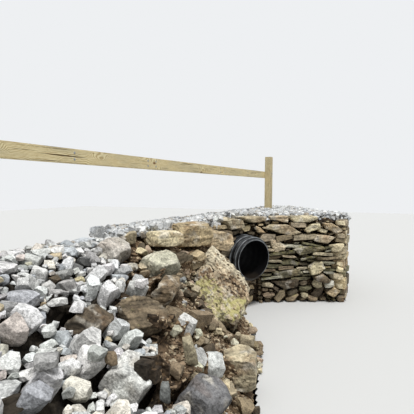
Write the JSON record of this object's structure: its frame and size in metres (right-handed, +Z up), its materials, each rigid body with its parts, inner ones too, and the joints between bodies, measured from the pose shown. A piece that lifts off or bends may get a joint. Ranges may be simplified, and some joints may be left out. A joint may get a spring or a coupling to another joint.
{
  "type": "culvert headwall",
  "caption": "Dry stone culvert headwall round a skewed corrugated pipe, with a stone bank, a wing wall, a gravel shoulder and a timber guard rail.",
  "frame": {"origin": "middle of the footprint's bounding box, at the level of the stream bed", "axes": "+X along the guard rail, from the stone bank to the wing wall; +Y towards the road behind the wall; +Z up"},
  "size_m": [9.6, 2.9082, 2.66],
  "materials": {
    "packed_rubble": "rubble packed with earth and chips",
    "crushed_stone": "clean crushed stone, loose",
    "granite": "broken, weathered",
    "buff_sandstone": "split face, weathered",
    "mossy_stone": "split face, damp and mossy",
    "pipe_plastic": "extruded black polyethylene",
    "treated_timber": "sawn pressure-treated softwood, knotty, unpainted"
  },
  "bodies": {
    "root": {"bank": "packed_rubble", "bank_end": "packed_rubble", "bank_stone_brown": "granite", "bank_stone_green": "granite", "bank_stone_grey": "granite", "bank_stone_ledge": "granite", "bank_stone_long": "granite", "bank_stone_mossy": "granite", "bank_stone_white": "granite", "buff_stone": "buff_sandstone", "cap_inner": "buff_sandstone", "cap_outer": "buff_sandstone", "cap_over_corner": "buff_sandstone", "coping_left": "buff_sandstone", "coping_middle": "buff_sandstone", "coping_right": "buff_sandstone", "fifth_row_ledge": "mossy_stone", "fill_left": "packed_rubble", "fill_right": "packed_rubble", "foot_stone": "buff_sandstone", "leaning_slab": "buff_sandstone", "lintel_over_pipe": "buff_sandstone", "long_ledge": "mossy_stone", "mossy_ledge_lower": "mossy_stone", "mossy_ledge_upper": "mossy_stone", "mossy_stone": "mossy_stone", "nose_foot_inner": "buff_sandstone", "nose_foot_outer": "buff_sandstone", "pipe": "pipe_plastic", "pipe_surround": "packed_rubble", "post_left": "treated_timber", "post_right": "treated_timber", "rail_back_left": "treated_timber", "rail_back_right": "treated_timber", "rail_front_left": "treated_timber", "rail_front_right": "treated_timber", "second_row_inner": "buff_sandstone", "second_row_middle": "buff_sandstone", "second_row_outer": "buff_sandstone", "shoulder_left": "crushed_stone", "shoulder_right": "crushed_stone", "third_row_inner": "buff_sandstone", "third_row_outer": "buff_sandstone", "toe_boulder": "granite", "wedge_by_pipe": "buff_sandstone"}
  },
  "joints": []
}
